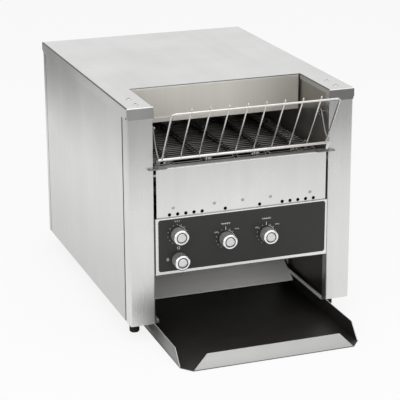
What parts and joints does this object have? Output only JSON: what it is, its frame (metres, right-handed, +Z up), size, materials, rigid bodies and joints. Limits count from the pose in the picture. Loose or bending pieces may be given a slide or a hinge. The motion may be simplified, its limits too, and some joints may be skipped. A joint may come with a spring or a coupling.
{
  "type": "conveyor toaster",
  "caption": "Counter-top conveyor toaster: bread rides a wire belt under electric elements and slides down a ramp to a pull-out tray; dials set belt speed and heat.",
  "frame": {"origin": "middle of the footprint on the counter, under the feet", "axes": "+X to the right seen from the front, +Y to the back, +Z up; the controls face -Y"},
  "size_m": [0.3704, 0.647, 0.381],
  "materials": {
    "outer_steel": "fine brushed stainless sheet",
    "inner_steel": "plain mill-finish sheet, dulled by heat",
    "belt_wire": "drawn stainless wire, slightly dulled",
    "drive_steel": "turned and cut steel",
    "element_sheath": "dark oxidised metal sheath",
    "ceramic_sleeves": "unglazed white ceramic",
    "bushing_metal": "sintered bronze",
    "gear_casting": "grey cast housing",
    "motor_paint": "black painted can",
    "fan_plastic": "black moulded plastic",
    "guard_wire": "plated wire",
    "gland_plastic": "black moulded nylon",
    "block_plastic": "off-white moulded plastic",
    "dark_overlay": "charcoal printed film",
    "rack_wire": "bright plated wire",
    "tray_coating": "dark release coating inside, steel outside",
    "foot_rubber": "black rubber",
    "fixing_steel": "stainless heads",
    "control_plastic": "dark moulded housing",
    "knob_plastic": "black fluted grip",
    "knob_metal": "turned cap with a bright ring"
  },
  "bodies": {
    "cabinet": {"back_panel": "outer_steel", "base_pan": "inner_steel", "belt_front_bend": "belt_wire", "belt_lower_run": "belt_wire", "belt_rear_bend": "belt_wire", "belt_upper_run": "belt_wire", "bottom_heat_control": "control_plastic", "cable_gland": "gland_plastic", "case_screws": "fixing_steel", "control_box": "inner_steel", "control_overlay": "dark_overlay", "control_panel": "outer_steel", "drive_chain": "drive_steel", "drive_motor": "motor_paint", "element_insulators": "ceramic_sleeves", "fan_frame": "fan_plastic", "fan_guard": "guard_wire", "feet": "foot_rubber", "front_column_left": "outer_steel", "front_column_right": "outer_steel", "front_panel": "outer_steel", "gearbox": "gear_casting", "heat_shield": "inner_steel", "hood_panel": "outer_steel", "inner_wall_left": "inner_steel", "inner_wall_right": "inner_steel", "lower_elements": "element_sheath", "lower_reflector": "inner_steel", "power_switch": "control_plastic", "rack_rests": "outer_steel", "rear_deflector": "inner_steel", "shaft_bushings": "bushing_metal", "side_panel_left": "outer_steel", "side_panel_right": "outer_steel", "speed_control": "control_plastic", "terminal_block": "block_plastic", "toast_ramp": "inner_steel", "top_cover": "outer_steel", "top_heat_control": "control_plastic", "upper_elements": "element_sheath", "upper_reflector": "inner_steel"},
    "feed_rack_body": {"feed_rack": "rack_wire", "rack_wires": "rack_wire"},
    "toast_tray_body": {"toast_tray": "tray_coating"},
    "drive_axle": {"drive_shaft": "drive_steel", "drive_sprockets": "drive_steel", "driven_chain_sprocket": "drive_steel"},
    "idler_axle": {"idler_shaft": "drive_steel", "idler_sprockets": "drive_steel"},
    "motor_output": {"gearbox_shaft": "drive_steel", "motor_chain_sprocket": "drive_steel"},
    "fan_rotor": {"fan_impeller": "fan_plastic"},
    "speed_dial": {"speed_knob": "knob_plastic", "speed_knob_cap": "knob_metal"},
    "top_heat_dial": {"top_heat_knob": "knob_plastic", "top_heat_knob_cap": "knob_metal"},
    "bottom_heat_dial": {"bottom_heat_knob": "knob_plastic", "bottom_heat_knob_cap": "knob_metal"},
    "power_dial": {"power_knob": "knob_plastic", "power_knob_cap": "knob_metal"}
  },
  "joints": [
    {"name": "rack_lift", "type": "slide", "parent": "cabinet", "child": "feed_rack_body", "axis": [0, 0, 1], "range_m": [0, 0.06]},
    {"name": "tray_slide", "type": "slide", "parent": "cabinet", "child": "toast_tray_body", "axis": [0, -1, 0], "range_m": [0, 0.3]},
    {"name": "drive_spin", "type": "hinge", "parent": "cabinet", "child": "drive_axle", "pos_m": [0, 0.11395, 0.24893], "axis": [1, 0, 0], "continuous": true},
    {"name": "idler_spin", "type": "hinge", "parent": "cabinet", "child": "idler_axle", "pos_m": [0, -0.14605, 0.24893], "axis": [1, 0, 0], "continuous": true},
    {"name": "motor_output_spin", "type": "hinge", "parent": "cabinet", "child": "motor_output", "pos_m": [0, 0.25921, 0.095], "axis": [1, 0, 0], "continuous": true},
    {"name": "fan_spin", "type": "hinge", "parent": "cabinet", "child": "fan_rotor", "pos_m": [-0.07488, 0.29352, 0.125], "axis": [0, 1, 0], "continuous": true},
    {"name": "speed_turn", "type": "hinge", "parent": "cabinet", "child": "speed_dial", "pos_m": [-0.108, -0.19651, 0.16908], "axis": [0, 1, 0], "range_deg": [0, 270]},
    {"name": "top_heat_turn", "type": "hinge", "parent": "cabinet", "child": "top_heat_dial", "pos_m": [-0.02909, -0.19651, 0.15262], "axis": [0, 1, 0], "range_deg": [0, 270]},
    {"name": "bottom_heat_turn", "type": "hinge", "parent": "cabinet", "child": "bottom_heat_dial", "pos_m": [0.03879, -0.19651, 0.15206], "axis": [0, 1, 0], "range_deg": [0, 270]},
    {"name": "power_turn", "type": "hinge", "parent": "cabinet", "child": "power_dial", "pos_m": [-0.1065, -0.19651, 0.12833], "axis": [0, 1, 0], "range_deg": [0, 90]}
  ],
  "couplings": [
    {"joint": "idler_spin", "follows": "drive_spin", "ratio": 1},
    {"joint": "motor_output_spin", "follows": "drive_spin", "ratio": 1.6667}
  ]
}
